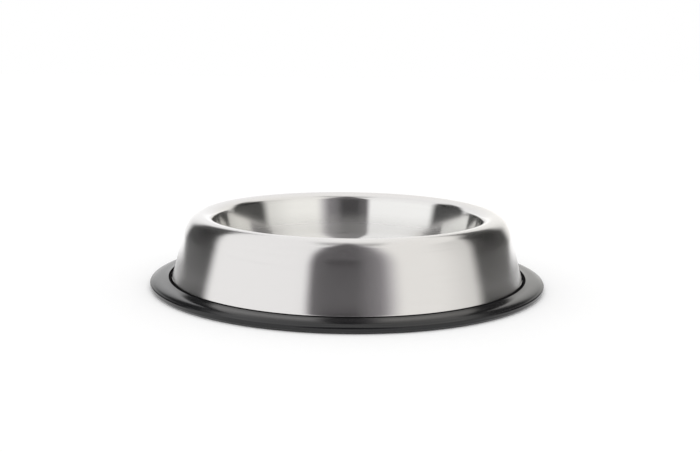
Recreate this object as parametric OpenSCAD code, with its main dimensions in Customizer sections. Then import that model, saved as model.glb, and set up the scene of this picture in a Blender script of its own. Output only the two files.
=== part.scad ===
// Non-tip dog bowl. One steel pressing makes the well, the rounded lip and the leaning skirt,
// and the curled hem at the skirt's foot is gripped by a moulded rubber ring that stops it sliding.
// Millimetres. +Z is up, and the origin is on the table under the middle of the bowl.

/* [Well] */
// Diameter of the mouth, where the lip has turned down into the well
mouth_d = 161.3; // [120:0.1:240]
// Lean of the well's wall away from the vertical, in degrees
wall_lean = 11.5; // [6:0.5:16]
// Radius between the wall and the floor, on the food side
floor_r = 16; // [8:0.5:20]
// Height of the floor's underside above the table
floor_lift = 3; // [2:0.5:5]

/* [Lip and skirt] */
// Height of the top of the lip above the table
bowl_h = 42.2; // [38:0.1:60]
// Outer radius of the lip's crown
crown_r = 8.5; // [5:0.1:10]
// Outer radius of the tighter bend from the crown into the well
mouth_r = 4.2; // [2.5:0.1:4.9]
// Fall of the lip towards the well where that bend starts, in degrees
lip_fall = 35; // [10:1:40]
// Outer radius of the long shoulder between the crown and the skirt
shoulder_r = 28; // [20:0.5:60]
// Lean of the shoulder away from the vertical where the crown meets it, in degrees
shoulder_lean = 34; // [26:1:45]
// Lean of the skirt away from the vertical, in degrees
skirt_lean = 15; // [10:0.5:20]
// Thickness of the steel sheet
sheet_t = 0.7; // [0.5:0.05:0.8]

/* [Hem] */
// Inner radius of the curl at the foot of the skirt
curl_r = 0.9; // [0.7:0.05:1.05]
// How far round the sheet is curled, in degrees
curl_turn = 280; // [200:5:290]

/* [Rubber ring] */
// Reach of the ring beyond the steel at its upper lip
flange_w = 12; // [10:0.1:20]
// Height of the ring at its upper lip
ring_h = 5.7; // [5.4:0.1:8]
// Thickness of the ring at its round outer edge
edge_t = 3; // [2.4:0.1:4.4]
// Height of that edge's underside above the table
edge_lift = 0.5; // [0:0.1:1]
// Width of the slope that lifts the underside to the edge
rise_w = 1; // [0.5:0.1:2]
// Thickness of the sole under the steel
sole_t = 1.3; // [1:0.1:1.5]
// Reach of the sole inwards past the hem
toe_w = 2.6; // [1:0.1:6]
// Roundness of the sole's inner edge
toe_r = 0.4; // [0.2:0.05:0.45]
// Gap between the upper lip and the skirt
lip_gap = 1; // [0.6:0.05:1.2]
// Roundness of the upper lip's edge
lip_r = 0.4; // [0.25:0.05:0.5]
// Clearance between the hem and its groove
fit_gap = 0.08; // [0.05:0.01:0.12]

/* [Grip grooves] */
// Number of round grooves in the sole
grooves = 3; // [1:1:4]
// Width of a groove
groove_w = 1.2; // [0.8:0.1:1.4]
// Depth of a groove
groove_d = 0.6; // [0.3:0.05:0.8]

/* [Hidden] */
// Largest angle that one flat of a round stretch covers
arc_step = 6;
$fn = 180;
STEEL = [0.74, 0.73, 0.71];
RUBBER = [0.07, 0.07, 0.075];

// A direction in the section plane, which is [distance from the axis, height]
function aim(angle) = [cos(angle), sin(angle)];

// Points of a round stretch about c, from one angle to another either way round
function arc(c, r, from, to) =
    let (steps = ceil(abs(to - from) / arc_step))
    [for (i = [0:steps]) c + r * aim(from + (to - from) * i / steps)];

function reversed(list) = [for (i = [len(list) - 1:-1:0]) list[i]];

// Where two lines cross, each given by its unit normal and its distance from the origin along it
function crossing(n1, d1, n2, d2) =
    let (turn = n1.x * n2.y - n1.y * n2.x)
    [d1 * n2.y - d2 * n1.y, n1.x * d2 - n2.x * d1] / turn;

// Outward normal of the skirt and of everything that lies parallel to it
skirt_out = aim(skirt_lean);

// The lip: the mouth's bend touches the well's wall line, the crown touches that bend, and the
// shoulder touches the crown above and the skirt below
floor_z = floor_lift + sheet_t;
crown_z = bowl_h - crown_r;
mouth_c = [mouth_d / 2 + mouth_r * cos(wall_lean), crown_z + (crown_r - mouth_r) * cos(lip_fall)];
crown_c = [mouth_c.x + (crown_r - mouth_r) * sin(lip_fall), crown_z];
shoulder_c = crown_c - (shoulder_r - crown_r) * aim(shoulder_lean);

// The floor's bend touches the wall line and the floor
wall_in = aim(180 - wall_lean);
wall_d = (mouth_c + mouth_r * wall_in) * wall_in;
floor_c = crossing(wall_in, wall_d + floor_r, [0, 1], floor_z + floor_r);

// The hem's curl stands on the sole and touches the skirt's outer face
curl_out_r = curl_r + sheet_t;
skirt_d = shoulder_c * skirt_out + shoulder_r;
curl_c = crossing(skirt_out, skirt_d + curl_r, [0, 1], sole_t + fit_gap + curl_out_r);

// The pressing's line at a depth below its visible face, from the curl's free edge to the axis
function sheet_line(depth) = concat(
    arc(curl_c, curl_r + depth, skirt_lean + 180 + curl_turn, skirt_lean + 180),
    arc(shoulder_c, shoulder_r - depth, skirt_lean, shoulder_lean),
    arc(crown_c, crown_r - depth, shoulder_lean, 90 + lip_fall),
    arc(mouth_c, mouth_r - depth, 90 + lip_fall, 180 - wall_lean),
    arc(floor_c, floor_r + depth, -wall_lean, -90),
    [[0, floor_z - depth]]
);

module bowl_shell() {
    color(STEEL)
        rotate_extrude()
            polygon(concat(sheet_line(0), reversed(sheet_line(sheet_t))));
}

// The ring's outer edge, and its top face from the upper lip down to that edge
edge_r = edge_t / 2;
lip_d = skirt_d + lip_gap;
lip_corner = crossing(skirt_out, lip_d, [0, 1], ring_h);
edge_c = [lip_corner.x + flange_w - edge_r, edge_lift + edge_r];
to_edge = edge_c - lip_corner;
top_angle = 90 + atan2(to_edge.y, to_edge.x) + asin(edge_r / norm(to_edge));
top_out = aim(top_angle);
lip_c = crossing(skirt_out, lip_d + lip_r, top_out, lip_corner * top_out - lip_r);

// The groove round the hem, open towards the axis above the sole
pocket_r = curl_out_r + fit_gap;
pocket_end = skirt_lean + acos((lip_d - curl_c * skirt_out) / pocket_r);

// The sole, and the band under the flange that the grip grooves share
sole_in = curl_c.x - curl_out_r - toe_w;
sole_out = edge_c.x - rise_w;
grip_in = curl_c.x + pocket_r;
grip_pitch = (sole_out - grip_in) / grooves;

// Corners of one groove, cut up into the sole
function groove(mid) = [
    [mid - groove_w / 2, 0], [mid - groove_w / 2, groove_d],
    [mid + groove_w / 2, groove_d], [mid + groove_w / 2, 0]
];

function ring_line() = concat(
    arc([sole_in + toe_r, toe_r], toe_r, 180, 270),
    [for (i = [0:grooves - 1]) each groove(grip_in + (i + 0.5) * grip_pitch)],
    [[sole_out, 0]],
    arc(edge_c, edge_r, -90, top_angle),
    arc(lip_c, lip_r, top_angle, skirt_lean + 180),
    arc(curl_c, pocket_r, pocket_end, -90),
    arc([sole_in + toe_r, sole_t - toe_r], toe_r, 90, 180)
);

module rubber_ring() {
    color(RUBBER)
        rotate_extrude()
            polygon(ring_line());
}

bowl_shell();
rubber_ring();
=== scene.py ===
"""A non-tip dog bowl: one brushed steel pressing, gripped at its hem by a moulded rubber ring."""
import math

import bpy
import numpy as np
from mathutils import Matrix, Vector


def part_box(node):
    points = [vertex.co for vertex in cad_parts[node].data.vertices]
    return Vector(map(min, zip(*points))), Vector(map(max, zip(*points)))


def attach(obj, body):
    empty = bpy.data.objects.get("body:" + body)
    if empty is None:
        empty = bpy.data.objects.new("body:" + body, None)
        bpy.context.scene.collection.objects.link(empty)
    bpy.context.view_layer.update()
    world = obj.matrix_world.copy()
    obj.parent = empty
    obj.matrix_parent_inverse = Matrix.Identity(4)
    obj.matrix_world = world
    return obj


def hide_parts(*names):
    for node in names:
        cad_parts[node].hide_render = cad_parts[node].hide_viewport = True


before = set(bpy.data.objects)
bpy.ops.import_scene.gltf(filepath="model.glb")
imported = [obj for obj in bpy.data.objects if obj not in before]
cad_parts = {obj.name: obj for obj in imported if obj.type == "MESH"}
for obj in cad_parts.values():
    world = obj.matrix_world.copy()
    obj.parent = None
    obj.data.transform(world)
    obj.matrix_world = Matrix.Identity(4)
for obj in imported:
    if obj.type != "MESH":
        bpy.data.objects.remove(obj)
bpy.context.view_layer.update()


# The steel pressing. One disc of stainless sheet is drawn into the well, folded over the lip, brought
# down over a long shoulder into the skirt, and curled outwards at its edge. It is brushed while it spins,
# so the scratches run round the axis. The well is left brighter than the outside.
BOWL_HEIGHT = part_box("bowl_shell")[1].z
MOUTH_RADIUS = 0.08065
WALL_LEAN = math.radians(11.5)
FLOOR_BEND = 0.016
FLOOR_LIFT = 0.003
CROWN_BEND = 0.0085
MOUTH_BEND = 0.0042
LIP_FALL = math.radians(35)
SHOULDER_BEND = 0.028
SHOULDER_LEAN = math.radians(34)
SKIRT_LEAN = math.radians(15)
SHEET = 0.0007
FLARE_BEND = 0.08
FLARE_LEAN = math.radians(20)
FOOT_FILLET = 0.0009
FOOT_LEAN = math.radians(42)
FOOT_ROUND = 0.0003
FOOT_TOP = 0.006
CURL_BEND = 0.0009
CURL_TURN = math.radians(280)
SOLE = 0.0013
FIT_GAP = 0.00008
UP = math.radians(90)
HALF_TURN = math.radians(180)
BEND_STEP = math.radians(2.5)
FLARE_STEP = math.radians(1)
CURL_STEP = math.radians(8)
ROW_SPACING = 0.003
STEEL_TURNS = 256
SHARP_EDGE = math.radians(40)


def heading(angle):
    """The unit vector (cosine, sine) of an angle, or of each angle in an array, in the section plane."""
    return np.stack([np.cos(angle), np.sin(angle)], -1)


def bend(centre, radius, start, end, step=BEND_STEP):
    """Points of a round stretch: centre + radius * heading(a), where a goes evenly from start to end."""
    count = math.ceil(abs(end - start) / step) + 1
    return centre + radius * heading(np.linspace(start, end, count))


def crossing(normal_a, reach_a, normal_b, reach_b):
    """Where two lines meet, each being the points p with p . normal = reach."""
    return np.linalg.solve(np.array([normal_a, normal_b]), np.array([reach_a, reach_b]))


def spaced(line, spacing):
    """The same line with more points on its long straight stretches: its own corners, and between them
    points no further apart than the spacing, found by their distance along it."""
    step = np.linalg.norm(np.diff(line, axis=0), axis=1)
    along = np.append(0, np.cumsum(step))
    parts = np.maximum(1, np.ceil(step / spacing)).astype(int)
    start = np.repeat(along[:-1], parts)
    share = (np.arange(parts.sum()) - np.repeat(np.cumsum(parts) - parts, parts)) / np.repeat(parts, parts)
    places = np.append(start + share * np.repeat(step, parts), along[-1])
    return np.stack([np.interp(places, along, line[:, 0]), np.interp(places, along, line[:, 1])], -1)


floor_top = FLOOR_LIFT + SHEET
crown_height = BOWL_HEIGHT - CROWN_BEND
mouth_middle = np.array([MOUTH_RADIUS + MOUTH_BEND * math.cos(WALL_LEAN),
                         crown_height + (CROWN_BEND - MOUTH_BEND) * math.cos(LIP_FALL)])
crown_middle = np.array([mouth_middle[0] + (CROWN_BEND - MOUTH_BEND) * math.sin(LIP_FALL), crown_height])
wall_out = heading(HALF_TURN - WALL_LEAN)
wall_reach = (mouth_middle + MOUTH_BEND * wall_out) @ wall_out
floor_middle = crossing(wall_out, wall_reach + FLOOR_BEND, (0, 1), floor_top + FLOOR_BEND)
shoulder_middle = crown_middle - (SHOULDER_BEND - CROWN_BEND) * heading(SHOULDER_LEAN)
skirt_out = heading(SKIRT_LEAN)
skirt_reach = shoulder_middle @ skirt_out + SHOULDER_BEND
flare = heading(SKIRT_LEAN) - heading(FLARE_LEAN)
fillet = heading(FLARE_LEAN) - heading(FOOT_LEAN)
foot_height = FOOT_TOP - FOOT_ROUND * (1 - math.sin(FOOT_LEAN))
flare_height = foot_height - FOOT_FILLET * fillet[1] - FLARE_BEND * flare[1]
flare_start = crossing(skirt_out, skirt_reach, (0, 1), flare_height)
flare_middle = flare_start + FLARE_BEND * heading(SKIRT_LEAN)
fillet_middle = flare_middle - (FLARE_BEND - FOOT_FILLET) * heading(FLARE_LEAN)
foot_middle = fillet_middle - (FOOT_FILLET + FOOT_ROUND) * heading(FOOT_LEAN)
curl_outer = CURL_BEND + SHEET
curl_middle = crossing(skirt_out, skirt_reach + CURL_BEND, (0, 1), SOLE + FIT_GAP + curl_outer)


def skirt_foot():
    """The visible foot of the skirt: a slow flare, a small fillet and the rounded edge above the ring's lip,
    as arcs that touch each other."""
    return np.concatenate([
        bend(flare_middle, FLARE_BEND, HALF_TURN + SKIRT_LEAN, HALF_TURN + FLARE_LEAN, FLARE_STEP),
        bend(fillet_middle, FOOT_FILLET, HALF_TURN + FLARE_LEAN, HALF_TURN + FOOT_LEAN, CURL_STEP)[1:],
        bend(foot_middle, FOOT_ROUND, FOOT_LEAN, -UP, CURL_STEP)[1:],
    ])


def pressing_line(depth):
    """The pressing's section as (radius, height) at a depth under its visible face, from the axis across the
    floor, up the wall, over the lip, down the skirt and round the curl, as arcs that touch each other. Only
    the visible face, at depth 0, has the foot."""
    foot = [skirt_foot()] if depth == 0 else []
    return np.concatenate([
        [[0, floor_top - depth]],
        bend(floor_middle, FLOOR_BEND + depth, -UP, -WALL_LEAN),
        bend(mouth_middle, MOUTH_BEND - depth, HALF_TURN - WALL_LEAN, UP + LIP_FALL),
        bend(crown_middle, CROWN_BEND - depth, UP + LIP_FALL, SHOULDER_LEAN)[1:],
        bend(shoulder_middle, SHOULDER_BEND - depth, SHOULDER_LEAN, SKIRT_LEAN)[1:],
        *foot,
        bend(curl_middle, CURL_BEND + depth, SKIRT_LEAN + HALF_TURN, SKIRT_LEAN + HALF_TURN + CURL_TURN,
             CURL_STEP),
    ])


def placed(name, data):
    """A new object in the scene that holds the data."""
    made = bpy.data.objects.new(name, data)
    bpy.context.scene.collection.objects.link(made)
    return made


def turned(name, line, turns, pole):
    """A surface of revolution. Point (radius, height) of the line becomes (radius * cosine, radius * sine,
    height) at each of the turns, and neighbours on that grid share a face. The line runs counter-clockwise,
    so that faces look outwards. With pole set, it starts and ends on the axis, where one vertex closes the
    rows; without it, its end joins its start. Attribute run holds the distance to the line's end."""
    gaps = np.linalg.norm(np.diff(line, axis=0), axis=1)
    run = gaps.sum() - np.append(0, np.cumsum(gaps))
    rim = line[1:-1] if pole else line
    rim_run = run[1:-1] if pole else run
    rows = len(rim)
    around = np.arange(turns) * 2 * math.pi / turns
    points = np.empty((turns, rows, 3))
    points[..., 0] = np.outer(np.cos(around), rim[:, 0])
    points[..., 1] = np.outer(np.sin(around), rim[:, 0])
    points[..., 2] = rim[:, 1]
    number = np.arange(turns * rows).reshape(turns, rows)
    across = np.roll(number, -1, 0)
    if pole:
        quads = np.stack([number[:, :-1], across[:, :-1], across[:, 1:], number[:, 1:]], -1)
        first, last = turns * rows, turns * rows + 1
        ends = np.concatenate([
            np.stack([np.full(turns, first), across[:, 0], number[:, 0]], -1),
            np.stack([np.full(turns, last), number[:, -1], across[:, -1]], -1)])
        points = np.concatenate([points.reshape(-1, 3), [[0, 0, line[0, 1]], [0, 0, line[-1, 1]]]])
        runs = np.append(np.tile(rim_run, turns), [run[0], run[-1]])
    else:
        after = np.roll(number, -1, 1)
        quads = np.stack([number, across, np.roll(across, -1, 1), after], -1)
        ends = np.empty((0, 3), int)
        points = points.reshape(-1, 3)
        runs = np.tile(rim_run, turns)
    mesh = bpy.data.meshes.new(name)
    mesh.from_pydata(points.tolist(), [], quads.reshape(-1, 4).tolist() + ends.tolist())
    mesh.attributes.new("run", "FLOAT", "POINT").data.foreach_set("value", runs.astype(np.float32))
    mesh.shade_smooth()
    mesh.set_sharp_from_angle(angle=SHARP_EDGE)
    return placed(name, mesh)


class Reading:
    """A socket's value while a finish is mixed. Sums and products of readings add Math nodes."""

    def __init__(self, mix, socket):
        self.mix, self.socket = mix, socket

    def __add__(self, other):
        return self.mix.maths("ADD", self, other)

    def __radd__(self, other):
        return self.mix.maths("ADD", other, self)

    def __sub__(self, other):
        return self.mix.maths("SUBTRACT", self, other)

    def __rsub__(self, other):
        return self.mix.maths("SUBTRACT", other, self)

    def __mul__(self, other):
        return self.mix.maths("MULTIPLY", self, other)

    def __rmul__(self, other):
        return self.mix.maths("MULTIPLY", other, self)

    def __truediv__(self, other):
        return self.mix.maths("DIVIDE", self, other)

    def __pow__(self, other):
        return self.mix.maths("POWER", self, other)


class Mix:
    """The node tree in which one finish is mixed."""

    def __init__(self, owner):
        owner.use_nodes = True
        self.tree = owner.node_tree
        self.tree.nodes.clear()

    def node(self, kind, settings=None, inputs=None, output=0):
        """Adds a node, sets its settings and then its inputs, by name or number, and reads one output."""
        made = self.tree.nodes.new(kind)
        for key, value in (settings or {}).items():
            setattr(made, key, value)
        for key, value in (inputs or {}).items():
            if isinstance(value, Reading):
                self.tree.links.new(value.socket, made.inputs[key])
            else:
                made.inputs[key].default_value = value
        return Reading(self, made.outputs[output]) if made.outputs else None

    def maths(self, operation, *values):
        """One Math node on readings and numbers."""
        return self.node("ShaderNodeMath", {"operation": operation}, dict(enumerate(values)))

    def rise(self, value, low, high):
        """0 up to low, 1 from high, and a smooth step between them."""
        return self.node("ShaderNodeMapRange", {"interpolation_type": "SMOOTHSTEP"},
                         {"Value": value, "From Min": low, "From Max": high})

    def fall(self, value, low, high):
        """1 up to low, 0 from high, and a smooth step between them."""
        return 1 - self.rise(value, low, high)

    def between(self, value, edges, closing=None):
        """1 between two soft edges and 0 outside them. The edges are where the first one starts and ends and
        where the second one does. The second is read from closing, if that is given."""
        return self.rise(value, *edges[:2]) * self.fall(value if closing is None else closing, *edges[2:])

    def parts(self, vector):
        """The x, y and z readings of a vector."""
        return [self.node("ShaderNodeSeparateXYZ", {}, {0: vector}, axis) for axis in range(3)]

    def noise(self, vector, scale, detail, roughness):
        """Noise from 0 to 1, about NOISE_MIDDLE on average."""
        return self.node("ShaderNodeTexNoise", {}, {"Vector": vector, "Scale": scale, "Detail": detail,
                                                    "Roughness": roughness})

    def blend(self, factor, first, second):
        """The colour that goes from first to second as the factor goes from 0 to 1."""
        return self.node("ShaderNodeMix", {"data_type": "RGBA"}, {0: factor, 6: first, 7: second}, 2)

    def swap(self, factor, first, second):
        """The shader that goes from first to second as the factor goes from 0 to 1."""
        return self.node("ShaderNodeMixShader", {}, {0: factor, 1: first, 2: second})


# The finish. A noise is its scale, detail and roughness, and a pair is where a soft edge starts and ends.
NOISE_MIDDLE = 0.5
BLACK = (0, 0, 0, 1)
OUTSIDE_COLOUR = (0.715, 0.702, 0.695, 1)
WELL_COLOUR = (0.79, 0.785, 0.77, 1)
# Painted shade: the next colour is a matt dark shader put in the gaps between the steel's foot and the ring's
# lip, where shade falls.
CREVICE_SHADE = (0.025, 0.024, 0.025, 1)
OUTSIDE_ROUGHNESS = 0.17
WELL_ROUGHNESS = 0.10
MOUTH_BLEND = (-0.002, 0.003)
BRUSHING = 0.75
BRUSHING_TURN = 0.25
SCRATCH_PITCH = 0.00035
SCRATCH_TURNING = 4.0
SCRATCH_NOISE = (1.0, 3.0, 0.6)
SCRATCH_SHARE = 0.6
BAND_PITCH = 0.0025
BAND_TURNING = 1.5
BAND_NOISE = (1.0, 2.0, 0.6)
BAND_SHARE = 0.4
BAND_RELIEF = 0.5
CLOUD_NOISE = (38.0, 3.0, 0.5)
ROUGHNESS_SPREAD = 0.02
SHADE_SPREAD = 0.12
SCRATCH_DEPTH = 0.00001
SCRATCH_STRENGTH = 0.1
WELL_SCRATCHES = 0.3
HAZE_ROUGHNESS = 0.6
HAZE_LEVEL = 0.02
DEEP_HAZE = 0.28
DEEP_HEIGHTS = (0.0205, 0.0315)
SHADED_HEM_RADII = (0.1, 0.102)


def with_painted_shade(mix, factor, shader):
    """A shader that gives way to a matt, dark shader as the factor goes from 0 to 1: painted shade for the
    gaps between the steel and the ring.
    """
    return mix.swap(factor, shader, mix.node("ShaderNodeBsdfDiffuse", {}, {"Color": CREVICE_SHADE}))


def brushed_steel():
    """Satin stainless: fine scratches and slow bands round the axis, a brighter well, a dull haze where it is
    drawn deepest, and painted shade, a matt dark shader, on the skirt's foot where it goes down into the gap
    behind the ring's lip."""
    steel = bpy.data.materials.new("brushed_steel")
    mix = Mix(steel)
    place = mix.node("ShaderNodeTexCoord", output="Object")
    x, y, z = mix.parts(place)
    run = mix.node("ShaderNodeAttribute", {"attribute_name": "run"}, output="Fac")
    radius = (x * x + y * y) ** 0.5

    def streaks(turning, pitch, noise):
        """Noise that changes slowly round the axis and fast along the section."""
        vector = mix.node("ShaderNodeCombineXYZ", {}, {0: x / radius * turning, 1: y / radius * turning,
                                                       2: run / pitch})
        return mix.noise(vector, *noise)

    outside = mix.rise(run, mouth_run + MOUTH_BLEND[0], mouth_run + MOUTH_BLEND[1])
    deep = mix.fall(z, *DEEP_HEIGHTS) * (1 - outside)
    fine = streaks(SCRATCH_TURNING, SCRATCH_PITCH, SCRATCH_NOISE)
    broad = streaks(BAND_TURNING, BAND_PITCH, BAND_NOISE)
    cloud = mix.noise(place, *CLOUD_NOISE)
    roughness = (WELL_ROUGHNESS + (OUTSIDE_ROUGHNESS - WELL_ROUGHNESS) * outside
                 + (fine - NOISE_MIDDLE) * (ROUGHNESS_SPREAD + ROUGHNESS_SPREAD * outside)
                 + (cloud - NOISE_MIDDLE) * ROUGHNESS_SPREAD)
    colour = mix.blend(outside, WELL_COLOUR, OUTSIDE_COLOUR)
    wear = broad * BAND_SHARE + fine * SCRATCH_SHARE - NOISE_MIDDLE
    shade = mix.blend(wear * SHADE_SPREAD, colour, BLACK)
    relief = (fine + broad * BAND_RELIEF) * (WELL_SCRATCHES + (1 - WELL_SCRATCHES) * outside)
    bump = mix.node("ShaderNodeBump", {}, {"Strength": SCRATCH_STRENGTH, "Distance": SCRATCH_DEPTH,
                                           "Height": relief})
    clear = mix.node("ShaderNodeBsdfPrincipled", {}, {
        "Base Color": shade, "Metallic": 1.0, "Roughness": roughness, "Normal": bump,
        "Anisotropic": BRUSHING, "Anisotropic Rotation": BRUSHING_TURN})
    dull = mix.node("ShaderNodeBsdfPrincipled", {}, {
        "Base Color": shade, "Metallic": 1.0, "Roughness": HAZE_ROUGHNESS, "Normal": bump})
    hazed = mix.swap(HAZE_LEVEL + (DEEP_HAZE - HAZE_LEVEL) * deep, clear, dull)
    # Painted shade: below the foot's round edge and out at the hem, where the steel goes down into the gap
    # behind the ring's lip, it turns to a matt dark shader.
    hem = mix.fall(z, foot_middle[1] - FOOT_ROUND, foot_middle[1]) * mix.rise(radius, *SHADED_HEM_RADII)
    mix.node("ShaderNodeOutputMaterial", {}, {0: with_painted_shade(mix, hem, hazed)})
    return steel


visible_face = spaced(pressing_line(0), ROW_SPACING)
hidden_face = spaced(pressing_line(SHEET), ROW_SPACING)
mouth_row = int(np.argmin(np.abs(visible_face - (MOUTH_RADIUS, mouth_middle[1])).sum(1)))
mouth_run = float(np.linalg.norm(np.diff(visible_face[:mouth_row + 1], axis=0), axis=1).sum())
pressing = turned("steel_pressing", np.concatenate([hidden_face, visible_face[::-1]]), STEEL_TURNS, pole=True)
pressing.data.materials.append(brushed_steel())
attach(pressing, "root")
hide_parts("bowl_shell")


# The rubber ring. It is moulded in one piece, with a groove that grips the curled hem, a lip that laps up
# against the skirt, a wide flange with a blunt edge, and a grooved sole that stops the bowl from sliding.
# It is stretched over the hem by hand and held by its own grip.
RING_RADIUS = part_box("rubber_ring")[1].x
RING_HEIGHT = 0.0057
EDGE_TOP = 0.0037
EDGE_ROUND = 0.0009
EDGE_LIFT = 0.0011
EDGE_FOOT = 0.0005
RISE_WIDTH = 0.001
TOE_REACH = 0.0026
TOE_ROUND = 0.0004
LIP_GAP = 0.0021
LIP_ROUND = 0.0002
TOP_CROWN = 0.0007
CROWN_PEAK = 6.75
CROWN_POINTS = 12
GROOVES = 3
GROOVE_WIDTH = 0.0012
GROOVE_DEPTH = 0.0006
RING_TURNS = 288
RUBBER_COLOUR = (0.005, 0.005, 0.006, 1)
RUBBER_DUST = (0.014, 0.013, 0.014, 1)
RUBBER_ROUGHNESS = 0.19
SMEAR_SPREAD = 0.1
RUBBER_SHINE = 0.43
GRAIN_NOISE = (2600.0, 3.0, 0.6)
GRAIN_SHARE = 0.4
GRAIN_DEPTH = 0.00003
GRAIN_STRENGTH = 0.3
SMEAR_NOISE = (45.0, 4.0, 0.6)
SMEAR_SHARE = 0.6
DUST_EDGE = (0.5, 0.72)

edge_middle = np.array([RING_RADIUS - EDGE_ROUND, EDGE_TOP - EDGE_ROUND])
edge_foot = np.array([RING_RADIUS - EDGE_FOOT, EDGE_LIFT + EDGE_FOOT])
lip_reach = skirt_reach + LIP_GAP
lip_corner = crossing(skirt_out, lip_reach, (0, 1), RING_HEIGHT)
to_edge = edge_middle - lip_corner
top_angle = UP + math.atan2(to_edge[1], to_edge[0]) + math.asin(EDGE_ROUND / np.linalg.norm(to_edge))
top_out = heading(top_angle)
lip_middle = crossing(skirt_out, lip_reach + LIP_ROUND, top_out, lip_corner @ top_out - LIP_ROUND)
pocket = curl_outer + FIT_GAP
pocket_end = SKIRT_LEAN + math.acos(min(1, (lip_reach - curl_middle @ skirt_out) / pocket))
sole_inner = curl_middle[0] - curl_outer - TOE_REACH
grip_inner = curl_middle[0] + pocket
sole_outer = edge_foot[0] - RISE_WIDTH
grip_pitch = (sole_outer - grip_inner) / GROOVES


def crowned_top():
    """The ring's top face from its outer edge to its lip. It stands above the straight line between them by
    TOP_CROWN * CROWN_PEAK * s (1 - s)^2, where s goes from 0 at the edge to 1 at the lip. CROWN_PEAK makes
    that TOP_CROWN at its highest, a third of the way in."""
    share = np.linspace(0, 1, CROWN_POINTS)[1:-1, None]
    outer = edge_middle + EDGE_ROUND * top_out
    inner = lip_middle + LIP_ROUND * top_out
    return outer + (inner - outer) * share + top_out * TOP_CROWN * CROWN_PEAK * share * (1 - share) ** 2


def ring_line():
    """The ring's section as (radius, height), counter-clockwise from the sole's inner edge: the sole with its
    square grooves, its raised border, the upright outer edge, the top face, the lip, the groove round the hem
    and the toe."""
    middles = grip_inner + (np.arange(GROOVES) + 0.5) * grip_pitch
    side = GROOVE_WIDTH / 2
    corners = np.stack([middles - side, middles - side, middles + side, middles + side], -1).reshape(-1)
    heights = np.tile([0, GROOVE_DEPTH, GROOVE_DEPTH, 0], GROOVES)
    return np.concatenate([
        bend((sole_inner + TOE_ROUND, TOE_ROUND), TOE_ROUND, HALF_TURN, HALF_TURN + UP),
        np.stack([corners, heights], -1),
        [[sole_outer, 0]],
        bend(edge_foot, EDGE_FOOT, -UP, 0),
        bend(edge_middle, EDGE_ROUND, 0, top_angle),
        crowned_top(),
        bend(lip_middle, LIP_ROUND, top_angle, SKIRT_LEAN + HALF_TURN),
        bend(curl_middle, pocket, pocket_end, -UP),
        bend((sole_inner + TOE_ROUND, SOLE - TOE_ROUND), TOE_ROUND, UP, HALF_TURN),
    ])


def moulded_rubber():
    """Black rubber, half matt, with the fine grain of its mould, a little dust, and painted shade, a matt
    dark shader, in the gap behind its lip."""
    rubber = bpy.data.materials.new("moulded_rubber")
    mix = Mix(rubber)
    place = mix.node("ShaderNodeTexCoord", output="Object")
    grain = mix.noise(place, *GRAIN_NOISE)
    smear = mix.noise(place, *SMEAR_NOISE)
    dust = mix.rise(smear * SMEAR_SHARE + grain * GRAIN_SHARE, *DUST_EDGE)
    bump = mix.node("ShaderNodeBump", {}, {"Strength": GRAIN_STRENGTH, "Distance": GRAIN_DEPTH,
                                           "Height": grain})
    shader = mix.node("ShaderNodeBsdfPrincipled", {}, {
        "Base Color": mix.blend(dust, RUBBER_COLOUR, RUBBER_DUST),
        "Roughness": RUBBER_ROUGHNESS + (smear - NOISE_MIDDLE) * SMEAR_SPREAD,
        "Specular IOR Level": RUBBER_SHINE, "Normal": bump})
    x, y, z = mix.parts(place)
    # Painted shade: inside the lip and above the sole, in the gap round the steel's foot, the rubber turns to
    # a matt dark shader.
    inwards = mix.fall((x * x + y * y) ** 0.5, lip_middle[0] - LIP_ROUND, lip_middle[0])
    gap_shade = inwards * mix.rise(z, SOLE, SOLE * 2)
    mix.node("ShaderNodeOutputMaterial", {}, {0: with_painted_shade(mix, gap_shade, shader)})
    return rubber


ring = turned("rubber_ring_moulding", spaced(ring_line(), ROW_SPACING), RING_TURNS, pole=False)
ring.data.materials.append(moulded_rubber())
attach(ring, "root")
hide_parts("rubber_ring")


# The floor is a wide white sheet. Rays that see it get a little light of its own, so that it comes out white
# and still keeps the bowl's shadow. Gloss finds it dimmer beside the bowl, where the tent is open. Turns are
# in degrees from the camera's side, alike to the left and right.
FLOOR_REACH = 6.0
FLOOR_CORNERS = ((-1, -1), (1, -1), (1, 1), (-1, 1))
FLOOR_WHITE = (0.9, 0.9, 0.9, 1)
FLOOR_GLOW = 0.135
GLOSS_GLOW = 0.15
SIDE_FALL = 0.085
SIDE_TURNS = (84, 92, 115, 133)
SIDE_START = (0.1, 0.13)
DEGREES = math.degrees(1)

floor_mesh = bpy.data.meshes.new("floor")
floor_mesh.from_pydata([(x * FLOOR_REACH, y * FLOOR_REACH, 0) for x, y in FLOOR_CORNERS], [], [(0, 1, 2, 3)])
floor = placed("floor", floor_mesh)


def seen(mix):
    """1 for a ray that comes from the camera or from glossy or clear stuff, and 0 for one that only
    lights."""
    kinds = [mix.node("ShaderNodeLightPath", output=name)
             for name in ("Is Camera Ray", "Is Glossy Ray", "Is Transmission Ray")]
    return 1 - (1 - kinds[0]) * (1 - kinds[1]) * (1 - kinds[2])


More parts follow.
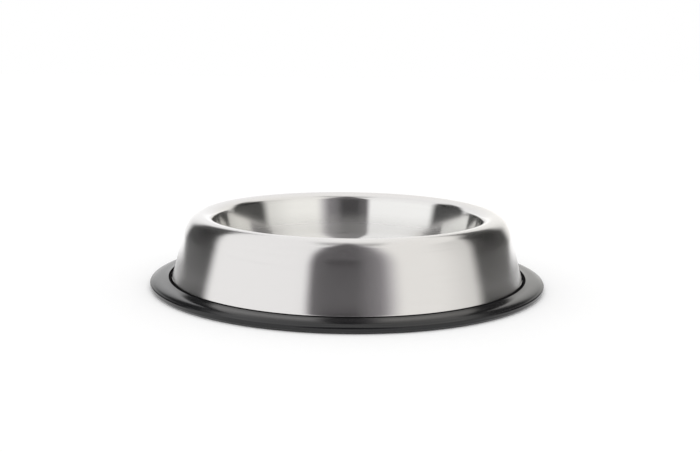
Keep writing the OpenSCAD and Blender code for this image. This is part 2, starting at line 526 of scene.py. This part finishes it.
def white_sheet():
    """Matt white, plus its own light for the rays that see it."""
    sheet = bpy.data.materials.new("white_sheet")
    mix = Mix(sheet)
    matt = mix.node("ShaderNodeBsdfDiffuse", {}, {"Color": FLOOR_WHITE})
    gloss = mix.node("ShaderNodeLightPath", output="Is Glossy Ray")
    glow = mix.node("ShaderNodeEmission", {}, {"Strength": seen(mix) * FLOOR_GLOW + gloss * GLOSS_GLOW})
    both = mix.node("ShaderNodeAddShader", {}, {0: matt, 1: glow})
    x, y = mix.parts(mix.node("ShaderNodeTexCoord", output="Object"))[:2]
    aside = mix.maths("ABSOLUTE", x)
    turn = mix.maths("ARCTAN2", aside, y * -1.0) * DEGREES
    open_side = mix.between(turn, SIDE_TURNS) * mix.rise(aside, *SIDE_START)
    dim = mix.node("ShaderNodeEmission", {}, {"Strength": aside ** -1.0 * SIDE_FALL})
    mix.node("ShaderNodeOutputMaterial", {}, {0: mix.swap(gloss * open_side, both, dim)})
    return sheet


floor_mesh.materials.append(white_sheet())


# The studio is a white tent about half a metre from the bowl. Only gloss sees it, and the world lights the
# rest evenly. It has three dark openings: the slit in front that the camera looks through, and one behind
# each side. Angles are in degrees: azimuth 0 is the camera's side, 90 is +X, and height is above the table.
TENT_PLAN = ((-180, 0.42), (-134, 0.40), (-92, 0.46), (-20, 0.36), (22, 0.45), (88, 0.62), (135, 0.43),
             (180, 0.42))
TENT_TURNS = 96
TENT_LIGHT = 1.08
TENT_SLANT = 0.04

# The side openings. They lean back as they rise, each edge from a height of its own. Four values are the
# two soft edges of an opening or patch.
LEFT_AZIMUTHS = (-139, -128, -95, -84.5)
RIGHT_AZIMUTHS = (80, 92, 127, 140)
SIDE_TOP = (42, 51)
SWEEP_HEIGHT = 24
TILT_HEIGHT = 13
RECESS_HEIGHT = 34
LEFT_TILT = 0.45
LEFT_RECESS = 0.9
RIGHT_TILT = 0.42
RIGHT_RECESS = 0.5
SIDE_DARK = 0.075
SIDE_LOW = 0.08
LOW_HEIGHTS = (2, 10)
SIDE_CORE = 0.04
LEFT_CORE = (-128, -118, -107, -97)
RIGHT_CORE = (98, 110, 118, 130)
CORE_HEIGHTS = (11, 23, 31, 43)

# The slit in front, which narrows upwards and ends overhead, and the darker patch of roof above it.
SLIT_AZIMUTHS = (-24.5, -18, 17.5, 34)
NARROW_HEIGHT = 36
NARROWING = 0.3
SLIT_OVERHEAD = (74, 108)
SLIT_DARK = 0.13
SLIT_RIGHT = 0.265
SLIT_BRIGHTENS = (3, 22)
SLIT_CORE = 0.05
SLIT_CORE_AZIMUTHS = (-16, -8, 4, 12)
SLIT_CORE_HEIGHTS = (16.5, 20.5, 24, 28)
ROOF_SPAN = (-0.26, -0.14, 0.18, 0.3)
ROOF_OVERHEAD = (60, 72, 78, 100)
ROOF_DARK = 0.5

# The cloth is dimmer round the right opening and behind the side ones, and brighter at the back.
RIGHT_HALO = 0.22
HALO_AZIMUTHS = (52, 90, 96, 120)
BACK_DIM = 0.12
DIM_AZIMUTHS = (120, 130, 137, 148)
DIM_TOP = (28, 50)
BACK_GLOW = 0.04
GLOW_AZIMUTHS = (120, 165)
GLOW_HEIGHTS = (36, 50)
LOW_GLOW = 0.15
LOW_GLOW_AZIMUTHS = (142, 162)
LOW_GLOW_TOP = (9, 15)
LEFT_CLOTH = (1, 1, 1, 1)
RIGHT_CLOTH = (1, 0.99, 0.96, 1)
CLOTH_BLEND = (-0.3, 0.5)
SLIT_TINT = (1, 0.96, 1, 1)


def tent_cloth():
    """The tent's light by direction from the bowl's middle."""
    cloth = bpy.data.materials.new("tent_cloth")
    mix = Mix(cloth)
    x, y, z = mix.parts(mix.node("ShaderNodeTexCoord", output="Object"))
    far = (x * x + y * y + z * z) ** 0.5
    x, y, z = x / far, y / far, z / far
    azimuth = mix.maths("ARCTAN2", x, y * -1.0) * DEGREES
    height = mix.maths("ARCSINE", z) * DEGREES
    overhead = mix.maths("ARCTAN2", z, y * -1.0) * DEGREES
    behind = mix.maths("ABSOLUTE", azimuth)

    def past(start):
        """How far the height is past the start, and 0 below it."""
        return mix.maths("MAXIMUM", height - start, 0.0)

    below = mix.fall(height, *SIDE_TOP)
    sweep, tilt, recess = past(SWEEP_HEIGHT), past(TILT_HEIGHT), past(RECESS_HEIGHT)
    left_front = azimuth + tilt * LEFT_TILT + recess * LEFT_RECESS
    right_front = azimuth - tilt * RIGHT_TILT - recess * RIGHT_RECESS
    left = mix.between(azimuth + sweep, LEFT_AZIMUTHS, left_front) * below
    right = mix.between(right_front, RIGHT_AZIMUTHS, azimuth - sweep) * below
    side_cores = mix.between(azimuth, LEFT_CORE) + mix.between(azimuth, RIGHT_CORE)
    cores = side_cores * mix.between(height, CORE_HEIGHTS)
    low = mix.fall(height, *LOW_HEIGHTS) * SIDE_LOW
    side_light = SIDE_DARK + (SIDE_CORE - SIDE_DARK) * cores + low

    narrow = past(NARROW_HEIGHT) * NARROWING
    slit = mix.between(azimuth - narrow, SLIT_AZIMUTHS, azimuth + narrow) * mix.fall(overhead, *SLIT_OVERHEAD)
    core = mix.between(azimuth, SLIT_CORE_AZIMUTHS) * mix.between(height, SLIT_CORE_HEIGHTS)
    slit_light = (SLIT_DARK + (SLIT_RIGHT - SLIT_DARK) * mix.rise(azimuth, *SLIT_BRIGHTENS)
                  + (SLIT_CORE - SLIT_DARK) * core)
    roof = mix.between(x, ROOF_SPAN) * mix.between(overhead, ROOF_OVERHEAD) * ROOF_DARK

    halo = mix.between(azimuth, HALO_AZIMUTHS) * below * RIGHT_HALO
    dim = mix.between(behind, DIM_AZIMUTHS) * mix.fall(height, *DIM_TOP) * BACK_DIM
    glow = (mix.rise(behind, *GLOW_AZIMUTHS) * mix.rise(height, *GLOW_HEIGHTS) * BACK_GLOW
            + mix.rise(behind, *LOW_GLOW_AZIMUTHS) * mix.fall(height, *LOW_GLOW_TOP) * LOW_GLOW)
    light = (TENT_LIGHT - x * TENT_SLANT) * (1 - halo) * (1 - dim) * (1 + glow)
    strength = (light * (1 - left) * (1 - right) * (1 - slit) * (1 - roof)
                + (left + right) * side_light + slit * slit_light)
    tint = mix.blend(mix.rise(x, *CLOTH_BLEND), LEFT_CLOTH, RIGHT_CLOTH)
    shine = mix.node("ShaderNodeEmission", {}, {"Color": mix.blend(slit, tint, SLIT_TINT),
                                                "Strength": strength})
    mix.node("ShaderNodeOutputMaterial", {}, {0: shine})
    cloth.cycles.emission_sampling = "NONE"
    return cloth


tent = turned("tent", bend(np.zeros(2), 1.0, -UP, UP), TENT_TURNS, pole=True)
directions = np.empty(len(tent.data.vertices) * 3)
tent.data.vertices.foreach_get("co", directions)
directions = directions.reshape(-1, 3)
plan = np.array(TENT_PLAN)
azimuths = np.degrees(np.arctan2(directions[:, 0], -directions[:, 1]))
distance = np.interp(azimuths, plan[:, 0], plan[:, 1])
tent.data.vertices.foreach_set("co", (directions * distance[:, None]).reshape(-1))
tent.data.materials.append(tent_cloth())
tent.visible_camera = tent.visible_diffuse = tent.visible_shadow = tent.visible_transmission = False

sky = bpy.data.worlds.new("even_light")
bpy.context.scene.world = sky
sky_mix = Mix(sky)
even = sky_mix.node("ShaderNodeBackground", {}, {"Color": (1, 1, 1, 1), "Strength": 1.0})
sky_mix.node("ShaderNodeOutputWorld", {}, {0: even})
sky.cycles_visibility.glossy = False


# The camera stands a little over half a metre in front of the bowl and looks down on it by about ten
# degrees. It is turned and tipped by a fraction of a degree.
CAMERA_PLACE = Vector((0.0, -0.570, 0.1331))
CAMERA_PITCH = 0.1728
CAMERA_YAW = 0.00235
CAMERA_ROLL = 0.0123
LENS_MM = 49.25
SENSOR_MM = 36.0

forward = Vector((math.sin(CAMERA_YAW), math.cos(CAMERA_YAW), 0))
ahead = forward * math.cos(CAMERA_PITCH) - Vector((0, 0, math.sin(CAMERA_PITCH)))
level = Vector((math.cos(CAMERA_YAW), -math.sin(CAMERA_YAW), 0))
above = level.cross(ahead)
right = level * math.cos(CAMERA_ROLL) + above * math.sin(CAMERA_ROLL)
top = above * math.cos(CAMERA_ROLL) - level * math.sin(CAMERA_ROLL)
lens = bpy.data.cameras.new("camera")
lens.lens = LENS_MM
lens.sensor_width = SENSOR_MM
camera = placed("camera", lens)
camera.matrix_world = Matrix((right, top, -ahead)).transposed().to_4x4()
camera.location = CAMERA_PLACE
bpy.context.scene.camera = camera
bpy.context.scene.view_settings.view_transform = "Standard"
